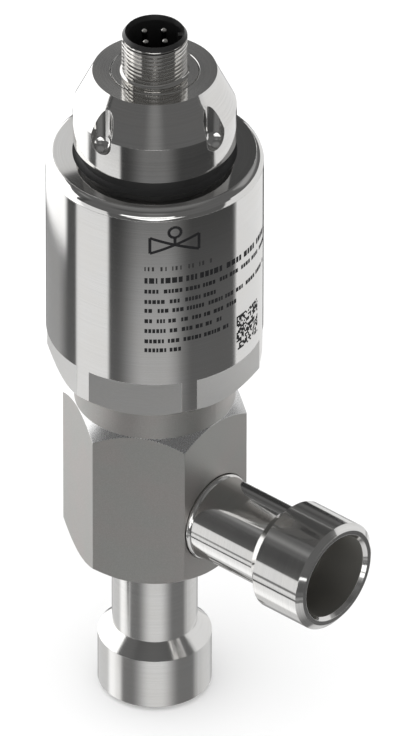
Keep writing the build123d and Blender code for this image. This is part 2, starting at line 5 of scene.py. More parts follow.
import bmesh
import bpy
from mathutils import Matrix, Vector


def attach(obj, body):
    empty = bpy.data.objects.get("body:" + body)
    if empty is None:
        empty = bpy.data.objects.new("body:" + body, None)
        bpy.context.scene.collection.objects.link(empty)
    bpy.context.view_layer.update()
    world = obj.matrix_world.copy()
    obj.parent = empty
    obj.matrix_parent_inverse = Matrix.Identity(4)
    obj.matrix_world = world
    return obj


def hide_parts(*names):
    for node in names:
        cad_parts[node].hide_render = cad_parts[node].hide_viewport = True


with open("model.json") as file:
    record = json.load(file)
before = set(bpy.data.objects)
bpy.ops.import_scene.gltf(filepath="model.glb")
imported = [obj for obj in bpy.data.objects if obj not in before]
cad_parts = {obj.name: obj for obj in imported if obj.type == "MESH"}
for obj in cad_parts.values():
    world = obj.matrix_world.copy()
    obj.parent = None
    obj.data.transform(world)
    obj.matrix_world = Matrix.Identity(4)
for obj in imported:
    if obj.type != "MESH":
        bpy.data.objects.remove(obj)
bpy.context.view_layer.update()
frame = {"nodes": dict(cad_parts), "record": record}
record = frame["record"]
MM = 0.001

# The photograph's view: azimuth and elevation of the camera, its lens and where the axis stands
VIEW_AZIMUTH = radians(41.4)
VIEW_ELEVATION = radians(35.3)
CAMERA_DISTANCE = 3.393
LENS = 900.0
SENSOR = 36.0
CLIP_START = 0.1
CLIP_END = 20
AIM_HEIGHT = 70.7 * MM
AXIS_SHIFT = 0.0615
RIGHT = Vector((cos(VIEW_AZIMUTH), sin(VIEW_AZIMUTH), 0))
TOWARD = Vector((sin(VIEW_AZIMUTH), -cos(VIEW_AZIMUTH), 0))

# Sizes of the object that the pieces of this scene follow, in mm
HOUSING_R = 20.0
THREAD_R = 6.0
FLANGE_R = 8.1
FLANGE_BEVEL_WIDTH = 0.12
FLANGE_BEVEL_DEPTH = 0.2
CONNECTOR_BORE_R = 5.4
CONNECTOR_TAIL_BORE_R = 4.6
CONNECTOR_LOW_Z = 127.0
CAP_PLATE_Z = 134.2
CAP_TOP_Z = 137.3
INSERT_LOW_Z = 133.6
THREAD_TOP_Z = 145.0
# Height below which the contact pins are painted in shade
PIN_SHADE_TOP_Z = 144.75
NECK_R = 13.4
NECK_FOOT_R = 15.0
NECK_LOW_Z = 119.6
NECK_TOP_Z = 121.2
GASKET_R = 13.9
GASKET_BORE_R = 10.6
CAP_LOW_Z = 122.5
OUTLET_Z = 44.3


# Node graphs

class Graph:
    """Adds shader nodes to one node tree and links them."""

    def __init__(self, tree):
        self.tree = tree
        tree.nodes.clear()

    def node(self, kind, inputs=(), **settings):
        made = self.tree.nodes.new("ShaderNode" + kind)
        for name, value in settings.items():
            setattr(made, name, value)
        for socket, value in dict(inputs).items():
            self.feed(made.inputs[socket], value)
        return made

    def feed(self, socket, value):
        if isinstance(value, bpy.types.NodeSocket):
            self.tree.links.new(value, socket)
        elif value is not None:
            socket.default_value = value

    def math(self, operation, *values):
        made = self.node("Math", operation=operation)
        for socket, value in zip(made.inputs, values):
            self.feed(socket, value)
        return made.outputs[0]

    def dot(self, vector, axis):
        made = self.node("VectorMath", {0: vector, 1: tuple(axis)}, operation="DOT_PRODUCT")
        return made.outputs["Value"]

    def blend(self, factor, a, b, kind="MIX"):
        """Colour a turned into b by the factor, or multiplied by b where the kind is MULTIPLY."""
        made = self.node("Mix", data_type="RGBA", blend_type=kind)
        colours = [s for s in made.inputs if s.type == "RGBA"]
        self.feed(made.inputs[0], factor)
        self.feed(colours[0], a)
        self.feed(colours[1], b)
        return made.outputs[2]

    def step(self, value, start, end, low=0.0, high=1.0):
        """A smooth step from low to high as value goes from start to end."""
        made = self.node(
            "MapRange", {0: value, 1: start, 2: end, 3: low, 4: high}, interpolation_type="SMOOTHSTEP"
        )
        return made.outputs[0]

    def span(self, value, low, high, soft):
        """1 between low and high, 0 outside, with soft edges."""
        rise = self.step(value, low - soft, low + soft)
        fall = self.step(value, high + soft, high - soft)
        return self.math("MULTIPLY", rise, fall)

    def noise(self, vector, scale, detail=3.0, rough=0.5):
        inputs = {"Vector": vector, "Scale": scale, "Detail": detail, "Roughness": rough}
        return self.node("TexNoise", inputs).outputs[0]

    def object_place(self):
        """Where a point lies in the object's own frame."""
        return self.node("TexCoord").outputs["Object"]

    def shine(self, light):
        """Makes the whole material give off this light."""
        lamp = self.node("Emission", {0: light, 1: 1.0})
        self.node("OutputMaterial", {0: lamp.outputs[0]})


def new_material(name):
    material = bpy.data.materials.new(name)
    material.use_nodes = True
    return Graph(material.node_tree), material


def placed(name, data):
    """A new object of this mesh or camera, linked into the scene."""
    made = bpy.data.objects.new(name, data)
    bpy.context.scene.collection.objects.link(made)
    return made


def linear(level):
    """The linear value of a screen tone from 0 to 255."""
    tone = level / 255
    return tone / 12.92 if tone <= 0.04045 else ((tone + 0.055) / 1.055) ** 2.4


def grey(value):
    return (value, value, value, 1)


# Studio: pale floor, an even sky, and soft boxes and dark flags round the object that only gloss shows.
# Angles are in degrees, about the valve axis, from the camera's side, positive to its right. Distances
# are in metres, and tones are screen tones that a mirror of polished steel would show, 255 being white.

# Share of the light that polished steel is taken to give back
STEEL = 0.78
CARD_DEPTH = 0.2
FLOOR_DEPTH = 0.0002
FLOOR_GREYS = (0.92, 0.95)
DISC_R = 4.0
DISC_SIDES = 64
# The sky's tone in gloss, and its light for everything else
SKY_TONE = 89
LIT_SKY = 1.3

# Rings of flags on the low card: (start angle, tone up to the next start, softness of the edge)
INNER_RING = [
    (-180, 140, 0), (-160, 194, 8), (-105, 250, 6), (-86, 228, 6), (-71, 110, 6), (-28, 203, 20),
    (31, 108, 20), (88, 184, 8), (108, 196, 10), (150, 160, 12),
]
MIDDLE_RING = [(-180, 235, 0), (-86, 210, 6), (-60, 112, 8), (60, 84, 8), (104, 255, 8)]
LOW_RING = [
    (-180, 60, 0), (-166, 146, 2), (-112, 84, 12), (-89.8, 217, 2.2), (-48.8, 86, 1.8), (-26, 164, 15),
    (25, 88, 15), (91.8, 215, 1.2), (160, 60, 3),
]
HIGH_RING = [
    (-180, 60, 0), (-166, 112, 2), (-107, 70, 5), (-89.8, 217, 2.2), (-48.8, 52, 1.8), (-26, 98, 15),
    (25, 56, 15), (91.8, 215, 1.2), (160, 60, 3),
]
THREAD_RING = [
    (-180, 60, 0), (-166, 262, 2), (-112, 240, 8), (-90, 150, 8), (-80, 215, 1), (-76, 112, 1),
    (-66, 84, 6), (-22, 118, 12), (22, 78, 12), (94, 112, 8), (116, 165, 10), (148, 210, 8),
]
FAR_RING = [
    (-180, 48, 0), (-166, 255, 2), (-76, 213, 1.5), (-47, 84, 1.2), (73, 213, 1.2), (163, 48, 2),
]
# The rings outside the inner one: (distance from the axis where it begins, where it is full, its tones)
OUTER_RINGS = [
    (0.338, 0.348, MIDDLE_RING), (0.392, 0.402, LOW_RING), (0.42, 0.49, HIGH_RING),
    (0.4955, 0.499, THREAD_RING), (0.6, 0.64, FAR_RING),
]

# White stripe on the card, behind at the left, from a distance on. Its softness is a part of a full turn.
STRIPE_ANGLES = (-166, -106)
STRIPE_SOFT = 0.012
STRIPE_REACH = (0.446, 0.455)
STRIPE_TONE = 262

# Bright wedge on the card, in front, that widens with the distance, for the rounded edge of the cover
WEDGE_TIP = 0.06
WEDGE_START = 0.7
WEDGE_SLOPE = 1.4
WEDGE_SOFT = 0.005
WEDGE_TONE = 290

# Thin dark line on the card, for the lower side of the outlet: (from, to, softness) along x and along y
LINE_X = (-0.25, -0.165, 0.01)
LINE_Y = (-0.289, -0.25, 0.008)
LINE_TONE = 44

# Upright curved panels: (name, distance, foot, tone, heights of the top edge as (angle, height))
PANELS = [
    ("studio_panel_left", 0.3, -0.06, 290, [
        (-165, 0.228), (-140, 0.25), (-125, 0.345), (-110, 0.35), (-98, 0.29), (-90, 0.255), (-80.3, 0.225),
    ]),
    ("studio_panel_right", 0.3, -0.06, 213, [
        (78, 0.168), (89, 0.155), (105, 0.14), (113, 0.135), (120, 0.13), (163, 0.115),
    ]),
    ("studio_panel_near", 0.08, 0.024, 213, [(83.5, 0.07), (150, 0.05)]),
]
PANEL_STEP = 3

# Boxes and flags in the sky, each laid over those before it:
# (from angle, to angle, softness, from elevation, to elevation, softness, tone)
SKY_BOXES = [
    # Dark, low behind the object, in two parts that meet at the half turn
    (166, 190, 3, -40, 11, 4, 46),
    (-190, -168, 3, -40, 11, 4, 46),
    # Dark, high behind it, the last two meeting at the half turn
    (161, 176, 2, 22, 60, 5, 68),
    (160, 190, 2, 38.8, 60, 0.3, 66),
    (-190, -140, 2, 38.8, 60, 0.3, 66),
    # Pale, behind it at the left
    (-179, -122, 0.8, 27, 38.8, 0.15, 196),
    # A glow in front, and a bright box over its lower part
    (-9, 9, 8, 0, 15, 6, 155),
    (-33, 19, 1.5, -1, 8, 0.7, 290),
    # A dark flag at the left, a glow high beside it, and a dark flag high in front
    (-82, -74, 1.2, 2, 36, 5, 68),
    (-104, -86, 5, 42, 49, 4, 128),
    (-50, 50, 8, 42, 52, 4, 76),
    # Faint glows in front and at the right, for the thread and its mirror image
    (-13, 13, 8, 26, 42, 6, 116),
    (104, 154, 6, 20, 42, 6, 145),
]
# Elevations between which the sky gives way to the far ring, going down
HORIZON = (2.0, 0.0)
# Elevations between which the sky turns to the overhead tone, going up
OVERHEAD = (52, 68)
OVERHEAD_TONE = 108


def glow(tone):
    """The light that shows as a screen tone in polished steel."""
    return grey(linear(tone) / STEEL)


def ring_of_tones(graph, turn, segments):
    """A colour ramp round the full circle, from a list of (start angle, tone, softness)."""
    ramp = graph.node("ValToRGB", {0: turn})
    stops = ramp.color_ramp
    stops.interpolation = "EASE"
    places = []
    for i, (start, tone, soft) in enumerate(segments):
        last = i + 1 == len(segments)
        end = 180 if last else segments[i + 1][0] - segments[i + 1][2]
        places += [((start + soft + 180) / 360, glow(tone)), ((end + 180) / 360, glow(tone))]
    stops.elements[0].position, stops.elements[0].color = places[0]
    stops.elements[1].position, stops.elements[1].color = places[-1]
    for place, value in places[1:-1]:
        stop = stops.elements.new(place)
        stop.color = value
    return ramp.outputs[0]


def make_world():
    """Sky: one tone above the horizon, boxes and flags in it, and an even light for all but gloss."""
    world = bpy.data.worlds.new("studio_sky")
    bpy.context.scene.world = world
    world.use_nodes = True
    graph = Graph(world.node_tree)
    direction = graph.node("TexCoord").outputs["Generated"]
    across = graph.dot(direction, RIGHT)
    along = graph.dot(direction, TOWARD)
    up = graph.dot(direction, (0, 0, 1))
    turn = graph.math("MULTIPLY", graph.math("ARCTAN2", across, along), 180 / pi)
    rise = graph.math("MULTIPLY", graph.math("ARCSINE", up), 180 / pi)
    round_turn = graph.math("DIVIDE", graph.math("ADD", turn, 180.0), 360.0)

    far_ring = ring_of_tones(graph, round_turn, FAR_RING)
    light = graph.blend(graph.step(rise, *HORIZON), glow(SKY_TONE), far_ring)
    for from_turn, to_turn, turn_soft, from_rise, to_rise, rise_soft, tone in SKY_BOXES:
        sideways = graph.span(turn, from_turn, to_turn, turn_soft)
        upward = graph.span(rise, from_rise, to_rise, rise_soft)
        light = graph.blend(graph.math("MULTIPLY", sideways, upward), light, glow(tone))
    light = graph.blend(graph.step(rise, *OVERHEAD), light, glow(OVERHEAD_TONE))

    path = graph.node("LightPath")
    plain = graph.math("SUBTRACT", 1.0, path.outputs["Is Glossy Ray"])
    light = graph.blend(plain, light, grey(LIT_SKY))
    back = graph.node("Background", {0: light, 1: 1.0})
    graph.node("OutputWorld", {0: back.outputs[0]})


def gloss_only(thing):
    """Hide a light or flag from all but reflections."""
    thing.visible_camera = False
    thing.visible_diffuse = False
    thing.visible_shadow = False
    thing.visible_transmission = False


def make_card():
    """The rings of soft boxes and flags as one large card below the floor."""
    graph, material = new_material("studio_card")
    place = graph.object_place()
    across = graph.dot(place, RIGHT)
    along = graph.dot(place, TOWARD)
    turn = graph.math("ARCTAN2", across, along)
    turn = graph.math("ADD", graph.math("DIVIDE", turn, 2 * pi), 0.5)
    flat = graph.node("VectorMath", {0: place, 1: (1, 1, 0)}, operation="MULTIPLY").outputs[0]
    reach = graph.node("VectorMath", {0: flat}, operation="LENGTH").outputs["Value"]
    light = ring_of_tones(graph, turn, INNER_RING)
    for start, full, segments in OUTER_RINGS:
        light = graph.blend(graph.step(reach, start, full), light, ring_of_tones(graph, turn, segments))

    low, high = (angle / 360 + 0.5 for angle in STRIPE_ANGLES)
    beyond = graph.step(reach, *STRIPE_REACH)
    stripe = graph.math("MULTIPLY", graph.span(turn, low, high, STRIPE_SOFT), beyond)
    light = graph.blend(stripe, light, glow(STRIPE_TONE))

    wide = graph.math("SQRT", graph.math("MULTIPLY_ADD", across, across, WEDGE_TIP * WEDGE_TIP))
    ahead = graph.math("MULTIPLY_ADD", wide, -WEDGE_SLOPE, along)
    wedge = graph.step(ahead, WEDGE_START - WEDGE_SOFT, WEDGE_START + WEDGE_SOFT)
    light = graph.blend(wedge, light, glow(WEDGE_TONE))

    parts = graph.node("SeparateXYZ", {0: place}).outputs
    line = graph.math("MULTIPLY", graph.span(parts[1], *LINE_Y), graph.span(parts[0], *LINE_X))
    graph.shine(graph.blend(line, light, glow(LINE_TONE)))
    gloss_only(flat_disc("studio_card", -CARD_DEPTH, material))


def make_panels():
    for name, reach, foot, tone, tops in PANELS:
        graph, material = new_material(name)
        graph.shine(glow(tone))
        mesh = bpy.data.meshes.new(name)
        points = []
        for (start, low), (end, high) in zip(tops, tops[1:]):
            steps = round((end - start) / PANEL_STEP)
            for i in range(steps + 1):
                turn = radians(start + (end - start) * i / steps)
                spot = (RIGHT * sin(turn) + TOWARD * cos(turn)) * reach
                top = low + (high - low) * i / steps
                points += [spot + Vector((0, 0, foot)), spot + Vector((0, 0, top))]
        faces = [(2 * i, 2 * i + 2, 2 * i + 3, 2 * i + 1) for i in range(len(points) // 2 - 1)]
        mesh.from_pydata(points, [], faces)
        mesh.materials.append(material)
        gloss_only(placed(name, mesh))


def make_floor():
    graph, material = new_material("studio_floor")
    cloud = graph.noise(graph.object_place(), 9.0)
    tint = graph.blend(cloud, grey(FLOOR_GREYS[0]), grey(FLOOR_GREYS[1]))
    shade = graph.node("BsdfDiffuse", {0: tint, 1: 0.6})
    graph.node("OutputMaterial", {0: shade.outputs[0]})
    floor = flat_disc("studio_floor", -FLOOR_DEPTH, material)
    floor.visible_glossy = False


def flat_disc(name, height, material):
    mesh = bpy.data.meshes.new(name)
    turns = [2 * pi * i / DISC_SIDES for i in range(DISC_SIDES)]
    rim = [(DISC_R * cos(turn), DISC_R * sin(turn), 0) for turn in turns]
    mesh.from_pydata(rim, [], [tuple(range(DISC_SIDES))])
    mesh.materials.append(material)
    disc = placed(name, mesh)
    disc.location.z = height
    return disc


def make_camera():
    data = bpy.data.cameras.new("camera")
    data.sensor_width = SENSOR
    data.lens = LENS
    data.shift_x = AXIS_SHIFT
    data.clip_start = CLIP_START
    data.clip_end = CLIP_END
    camera = placed("camera", data)
    toward = TOWARD * cos(VIEW_ELEVATION) + Vector((0, 0, sin(VIEW_ELEVATION)))
    camera.location = Vector((0, 0, AIM_HEIGHT)) + toward * CAMERA_DISTANCE
    camera.rotation_euler = (-toward).to_track_quat("-Z", "Y").to_euler()
    bpy.context.scene.camera = camera
    bpy.context.scene.view_settings.view_transform = "Standard"


# Materials, with lengths in metres

# Spacing and depth of the tool lines on turned steel, and how far their pattern shifts per radian
TOOL_LINE = 0.00018
TOOL_DEPTH = 0.0000009
TOOL_SHIFT = 0.0001
# Widths over which one finish turns into the next
BORE_SIDE_SOFT = 0.00005
BORE_END_SOFT = 0.00002
FLAT_SIDE_SOFT = 0.00002
FLAT_END_SOFT = 0.00001
LEAN_SOFT = 0.00002
# Height over which the pins' painted shade fades into the nickel
PIN_SHADE_SOFT = 0.0002
# Milled flats: the roughness they add, and their colour with its share
MILLED_WEAR = 0.26
MILLED_COLOUR = (0.5, 0.5, 0.49, 1)
MILLED_SHARE = 0.3
# Where blasted steel faces up it is turned: upward part of the normal, roughness and tone
TOP_FACING = (0.3, 0.55)
TOP_ROUGH = 0.27
TOP_GREY = 0.72
WIRE_PITCH = 0.00022
EDGE_SAMPLES = 6
STEEL_COLOUR = (0.78, 0.775, 0.765)
CONTACT_COLOUR = (0.62, 0.61, 0.58)

# Bores of the tubes, with a dark colour that is painted shade inside them, and a dull finish: a passage,
# and a wider socket between two places along the tube
INLET_BORE = {
    "passage_r": 0.00595, "socket_r": 0.0081, "start": 0.0007, "end": 0.01005,
    "colour": (0.06, 0.058, 0.053), "dull": 0.4,
}
OUTLET_BORE = {
    "passage_r": 0.00595, "socket_r": 0.0081, "start": 0.03465, "end": 0.044,
    "colour": (0.42, 0.41, 0.385), "dull": 0.55,
}
# Milled flats of the housing: between two heights, where the wall lies within a radius
HOUSING_FLATS = {"low": 0.0727, "high": 0.081, "within_r": 0.01997}
# The cover's surface is shaded as if it leaned outward above a height
COVER_LEAN = {"above": 0.11955, "slope": 0.1}


def finish_surface(graph, colour, rough, height, distance, strength=1.0, edge=0.0, **constants):
    """The surface shader, its bump, and slightly rounded edges; constants go straight on its sockets."""
    surface = graph.node("BsdfPrincipled")
    graph.feed(surface.inputs["Base Color"], colour)
    graph.feed(surface.inputs["Roughness"], rough)
    for socket, value in constants.items():
        surface.inputs[socket.replace("_", " ")].default_value = value
    bump = graph.node("Bump", {"Height": height, "Distance": distance, "Strength": strength})
    if edge:
        corner = graph.node("Bevel", {"Radius": edge}, samples=EDGE_SAMPLES)
        graph.feed(bump.inputs["Normal"], corner.outputs[0])
    graph.feed(surface.inputs["Normal"], bump.outputs[0])
    graph.node("OutputMaterial", {0: surface.outputs[0]})
    return surface


def turned_place(graph, centre=(0, 0, 0), axis="Z"):
    """Distance along the turning axis and from it, and the angle round it."""
    place = graph.node("VectorMath", {0: graph.object_place(), 1: centre}, operation="SUBTRACT").outputs[0]
    parts = graph.node("SeparateXYZ", {0: place}).outputs
    along, one, two = {"Z": (parts[2], parts[0], parts[1]), "X": (parts[0], parts[1], parts[2])}[axis]
    square = graph.math("ADD", graph.math("MULTIPLY", one, one), graph.math("MULTIPLY", two, two))
    return along, graph.math("SQRT", square), graph.math("ARCTAN2", two, one)


def turned_steel(name, colour, rough, axis="Z", centre=(0, 0, 0), anisotropic=0.5, lean=None, flats=None,
                 bore=None, soft_edge=0.0001):
    """Turned stainless steel: fine tool lines round the axis, faint cloudy patches, softened edges."""
    graph, material = new_material(name)
    along, radius, angle = turned_place(graph, centre, axis)
    place = graph.object_place()
    shift = graph.math("MULTIPLY", angle, TOOL_SHIFT)
    spread = graph.node("CombineXYZ", {0: along, 1: radius, 2: shift})
    lines = graph.noise(spread.outputs[0], 1 / TOOL_LINE, 2.0, 0.6)
    cloud = graph.noise(place, 160.0, 4.0, 0.6)
    fleck = graph.noise(place, 2600.0, 2.0, 0.6)
    tint = graph.blend(graph.step(lines, 0.3, 0.7), grey(0.93), grey(1.0))
    tint = graph.blend(graph.step(cloud, 0.3, 0.7, 0.0, 0.35), tint, (0.97, 0.95, 0.92, 1))
    tint = graph.blend(1.0, tint, (*colour, 1), "MULTIPLY")
    wear = graph.math("MULTIPLY_ADD", cloud, rough * 0.5, rough * 0.62)
    wear = graph.math("MULTIPLY_ADD", lines, rough * 0.3, wear)
    height = graph.math("ADD", graph.math("MULTIPLY", lines, 0.7), graph.math("MULTIPLY", fleck, 0.3))
    if flats:
        side = graph.step(radius, flats["within_r"] + FLAT_SIDE_SOFT, flats["within_r"])
        level = graph.span(along, flats["low"], flats["high"], FLAT_END_SOFT)
        milled = graph.math("MULTIPLY", side, level)
        wear = graph.math("MULTIPLY_ADD", milled, MILLED_WEAR, wear)
        tint = graph.blend(graph.math("MULTIPLY", milled, MILLED_SHARE), tint, MILLED_COLOUR)
    if bore:
        # Bores: their dark colour is painted shade inside the tubes; they are also duller
        side = graph.step(radius, bore["socket_r"] + BORE_SIDE_SOFT, bore["socket_r"])
        socket = graph.math("MULTIPLY", side, graph.span(along, bore["start"], bore["end"], BORE_END_SOFT))
        passage = graph.step(radius, bore["passage_r"] + BORE_SIDE_SOFT, bore["passage_r"])
        bore_painted_shade = graph.math("MAXIMUM", socket, passage)
        tint = graph.blend(bore_painted_shade, tint, (*bore["colour"], 1))
        wear = graph.math("MULTIPLY_ADD", bore_painted_shade, bore["dull"], wear)
    if lean:
        above = graph.step(along, lean["above"], lean["above"] + LEAN_SOFT)
        slope = graph.math("MULTIPLY", radius, -lean["slope"] / TOOL_DEPTH)
        height = graph.math("MULTIPLY_ADD", slope, above, height)
    surface = finish_surface(
        graph, tint, wear, height, TOOL_DEPTH, edge=soft_edge, Metallic=1.0, Anisotropic=anisotropic
    )
    if anisotropic and axis == "Z":
        tangent = graph.node("Tangent", direction_type="RADIAL", axis=axis)
        graph.feed(surface.inputs["Tangent"], tangent.outputs[0])
    return material


def blasted_steel(name, colour, rough):
    """Bead blasted stainless steel, turned where it faces up: fine even grain, warm and cool patches."""
    graph, material = new_material(name)
    place = graph.object_place()
    grain = graph.noise(place, 5200.0, 3.0, 0.65)
    pits = graph.node("TexVoronoi", {"Vector": place, "Scale": 3400.0}, feature="SMOOTH_F1").outputs[0]
    patch = graph.noise(place, 90.0, 3.0, 0.6)
    warm = tuple(c * f for c, f in zip(colour, (1.03, 0.995, 0.985)))
    cool = tuple(c * f for c, f in zip(colour, (0.985, 1.005, 0.99)))
    tint = graph.blend(graph.step(patch, 0.35, 0.65), (*warm, 1), (*cool, 1))
    speckled = graph.blend(graph.step(grain, 0.3, 0.75, 0.0, 0.16), tint, grey(0.9))
    wear = graph.math("MULTIPLY_ADD", grain, 0.12, rough - 0.06)
    facing = graph.node("SeparateXYZ", {0: graph.node("TexCoord").outputs["Normal"]}).outputs[2]
    turned = graph.step(facing, *TOP_FACING)
    wear = graph.math("MULTIPLY_ADD", turned, TOP_ROUGH - rough, wear)
    speckled = graph.blend(turned, speckled, grey(TOP_GREY))
    height = graph.math("ADD", graph.math("MULTIPLY", grain, 0.6), graph.math("MULTIPLY", pits, 0.4))
    kept = graph.math("SUBTRACT", 1.0, graph.math("MULTIPLY", turned, 0.85))
    height = graph.math("MULTIPLY", height, kept)
    finish_surface(graph, speckled, wear, height, 0.00003, 0.35, edge=0.00015, Metallic=1.0)
    return material


def plain_metal(name, colour, rough, grain=1800.0, depth=0.000004):
    """Machined or drawn metal with a fine grain and dull patches."""
    graph, material = new_material(name)
    place = graph.object_place()
    fine = graph.noise(place, grain, 3.0, 0.6)
    patch = graph.noise(place, grain / 12, 3.0, 0.6)
    dull = tuple(c * 0.82 for c in colour)
    tint = graph.blend(graph.step(patch, 0.3, 0.7), (*dull, 1), (*colour, 1))
    wear = graph.math("MULTIPLY_ADD", patch, 0.16, rough - 0.08)
    finish_surface(graph, tint, wear, fine, depth, 0.4, edge=0.00005, Metallic=1.0)
    return material


def contact_with_painted_shade(name, colour, rough, shade_top):
    """Contact pin: nickel, with painted shade: below the shade top the shank is painted near black,
    standing in for the shade in the insert's recess.
    """
    graph, material = new_material(name)
    place = graph.object_place()
    fine = graph.noise(place, 4000.0)
    height = graph.node("SeparateXYZ", {0: place}).outputs[2]
    above_painted_shade = graph.step(height, shade_top - PIN_SHADE_SOFT, shade_top)
    # Painted shade: the pin turns near black below the shade top
    tint = graph.blend(above_painted_shade, (0.02, 0.02, 0.02, 1), (*colour, 1))
    wear = graph.math("MULTIPLY_ADD", fine, 0.16, rough - 0.08)
    finish_surface(graph, tint, wear, fine, 0.000004, 0.4, edge=0.00005, Metallic=1.0)
    return material


def moulded(name, colour, rough, grain=2400.0, depth=0.000008, **constants):
    """Anything but metal: plastic, rubber, ferrite, glass or ink, with a fine skin and uneven sheen."""
    graph, material = new_material(name)
    place = graph.object_place()
    fine = graph.noise(place, grain, 2.0, 0.6)
    patch = graph.noise(place, grain / 14, 3.0, 0.6)
    pale = tuple(min(c * 1.35 + 0.004, 1.0) for c in colour)
    tint = graph.blend(graph.step(patch, 0.3, 0.7, 0.0, 0.6), (*colour, 1), (*pale, 1))
    wear = graph.math("MULTIPLY_ADD", patch, 0.2, rough - 0.1)
    finish_surface(graph, tint, wear, fine, depth, 0.3, edge=0.00006, **constants)
    return material


def ink_print(name, colour, rough):
    """Printed ink: very smooth, with hardly any gloss."""
    return moulded(name, colour, rough, 3000.0, 0.000003, Specular_IOR_Level=0.12)


def wound_wire(name, colour):
    """Enamelled wire: close turns round the axis, painted darker in the grooves between turns as painted
    shade.
    """
    graph, material = new_material(name)
    along, radius, angle = turned_place(graph)
    turns = graph.math("MULTIPLY", graph.math("ADD", along, radius), 2 * pi / WIRE_PITCH)
    turns = graph.math("SINE", turns)
    patch = graph.noise(graph.object_place(), 300.0)
    groove_shade = tuple(c * 0.55 for c in colour)
    # Painted shade: the troughs between turns are darkened
    tint = graph.blend(graph.step(turns, -1.0, 0.4), (*groove_shade, 1), (*colour, 1))
    wear = graph.math("MULTIPLY_ADD", patch, 0.2, 0.22)
    finish_surface(graph, tint, wear, turns, 0.00006, 0.6, Metallic=1.0, Coat_Weight=0.6)
    return material


def make_materials():
    outlet = (0, 0, OUTLET_Z * MM)
    return {
        "inlet_tube": turned_steel("tube_steel_inlet", STEEL_COLOUR, 0.12, bore=INLET_BORE),
        "outlet_tube": turned_steel(
            "tube_steel_outlet", STEEL_COLOUR, 0.085, "X", outlet, bore=OUTLET_BORE
        ),
        "valve_body": blasted_steel("body_steel_blasted", (0.405, 0.397, 0.386), 0.48),
        "housing": turned_steel("housing_steel_turned", STEEL_COLOUR, 0.075, flats=HOUSING_FLATS),
        "cover": turned_steel("cover_steel_turned", STEEL_COLOUR, 0.06, lean=COVER_LEAN),
        "cap": turned_steel("cap_steel_turned", STEEL_COLOUR, 0.08, soft_edge=0.00005),
        "connector_metal": turned_steel(
            "connector_nickel", (0.74, 0.73, 0.71), 0.1, anisotropic=0.0, soft_edge=0.0
        ),
        "black_plastic": moulded("insert_plastic", (0.008, 0.008, 0.008), 0.4),
        "contact_pins": contact_with_painted_shade("contact_nickel_painted_shade", CONTACT_COLOUR, 0.3, PIN_SHADE_TOP_Z * MM),
        "contact_metal": plain_metal("contact_plain", CONTACT_COLOUR, 0.3, 4000.0),
        "black_rubber": moulded("seal_rubber", (0.012, 0.012, 0.012), 0.55),
        "inner_steel": plain_metal("inner_steel", (0.6, 0.6, 0.6), 0.28),
        "motor_sheet": plain_metal("motor_sheet_zinc", (0.5, 0.52, 0.55), 0.38, 900.0),
        "bearing_bronze": plain_metal("bearing_bronze", (0.55, 0.38, 0.2), 0.35, 2600.0, 0.00001),
        "copper_wire": wound_wire("winding_copper", (0.6, 0.28, 0.12)),
        "magnet": moulded("magnet_ferrite", (0.045, 0.045, 0.05), 0.6, 1500.0, 0.00002),
        "pale_plastic": moulded("bobbin_plastic", (0.72, 0.71, 0.65), 0.45),
        "bead_glass": moulded("feed_glass", (0.12, 0.17, 0.19), 0.12, 1200.0, 0.000002, Coat_Weight=0.8),
        "lead_cover": moulded("lead_cover", (0.4, 0.06, 0.04), 0.45),
        "tube_steel": plain_metal("tube_steel_plain", STEEL_COLOUR, 0.2),
        "ink": ink_print("label_ink", (0.01, 0.01, 0.011), 0.6),
        "faint_ink": ink_print("label_ink_faint", (0.02, 0.02, 0.02), 0.55),
    }


def dress_nodes(materials):
    """Every solid gets its own finish, or else that of its material slot in the record."""
    slots = {part["node"]: part["material_slot"] for part in record["subparts"]}
    for name, item in frame["nodes"].items():
        material = materials.get(name) or materials[slots[name]]
        if not item.material_slots:
            item.data.materials.append(material)
        for place in item.material_slots:
            place.material = material


# Pieces, in mm

def add_piece(name, points, faces, material, smooth=False, body="valve"):
    mesh = bpy.data.meshes.new(name)
    mesh.from_pydata([Vector(p) * MM for p in points], [], faces)
    mesh.materials.append(material)
    if smooth:
        mesh.polygons.foreach_set("use_smooth", [True] * len(mesh.polygons))
    mesh.update()
    mesh.validate()
    piece = placed(name, mesh)
    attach(piece, body)
    return piece


def turned_column(outline, turn):
    """Points of an outline of (radius, height) pairs, at an angle about the valve axis."""
    return [(r * cos(turn), r * sin(turn), z) for r, z in outline]


def turned_faces(rows, sides, columns):
    """Faces between columns of a closed outline. The last side ends at the first column if none is left."""
    faces = []
    for side in range(sides):
        here, there = side * rows, (side + 1) % columns * rows
        for row in range(rows):
            after = (row + 1) % rows
            faces.append((here + row, there + row, there + after, here + after))
    return faces


THREAD_PITCH = 0.83
THREAD_DEPTH = 0.3
THREAD_SIDES = 144
LEAD_IN = 0.45
FOOT_TOP_Z = 137.75
FOOT_SLOPE = 0.8
SHELL_SHARP = radians(35)
# Points nearer than this, in metres, are joined
WELD_DISTANCE = 0.0000005
# Points of one turn's profile: (part of the pitch, part of the depth)
THREAD_PROFILE = [
    (0.0, 0.0), (0.14, 0.0), (0.35, 1.0), (0.66, 1.0), (0.87, 0.0),
]


def foot_radius(z):
    """Radius of the sloped foot of the thread."""
    return THREAD_R + FOOT_SLOPE * max(0, FOOT_TOP_Z - z)


def thread_column(turn):
    """Points of the threaded barrel from the flange up, at a part of a turn."""
    column = []
    for coil in range(-1, int((THREAD_TOP_Z - CAP_TOP_Z) / THREAD_PITCH) + 1):
        for share, deep in THREAD_PROFILE:
            z = CAP_TOP_Z + (coil + turn + share) * THREAD_PITCH
            z = min(max(z, CAP_TOP_Z), THREAD_TOP_Z)
            crest = THREAD_R - THREAD_DEPTH * (1 - deep)
            if z < FOOT_TOP_Z:
                crest = foot_radius(z)
            elif z > THREAD_TOP_Z - LEAD_IN:
                crest = min(crest, THREAD_R - z + THREAD_TOP_Z - LEAD_IN)
            column.append((crest, z))
    return column


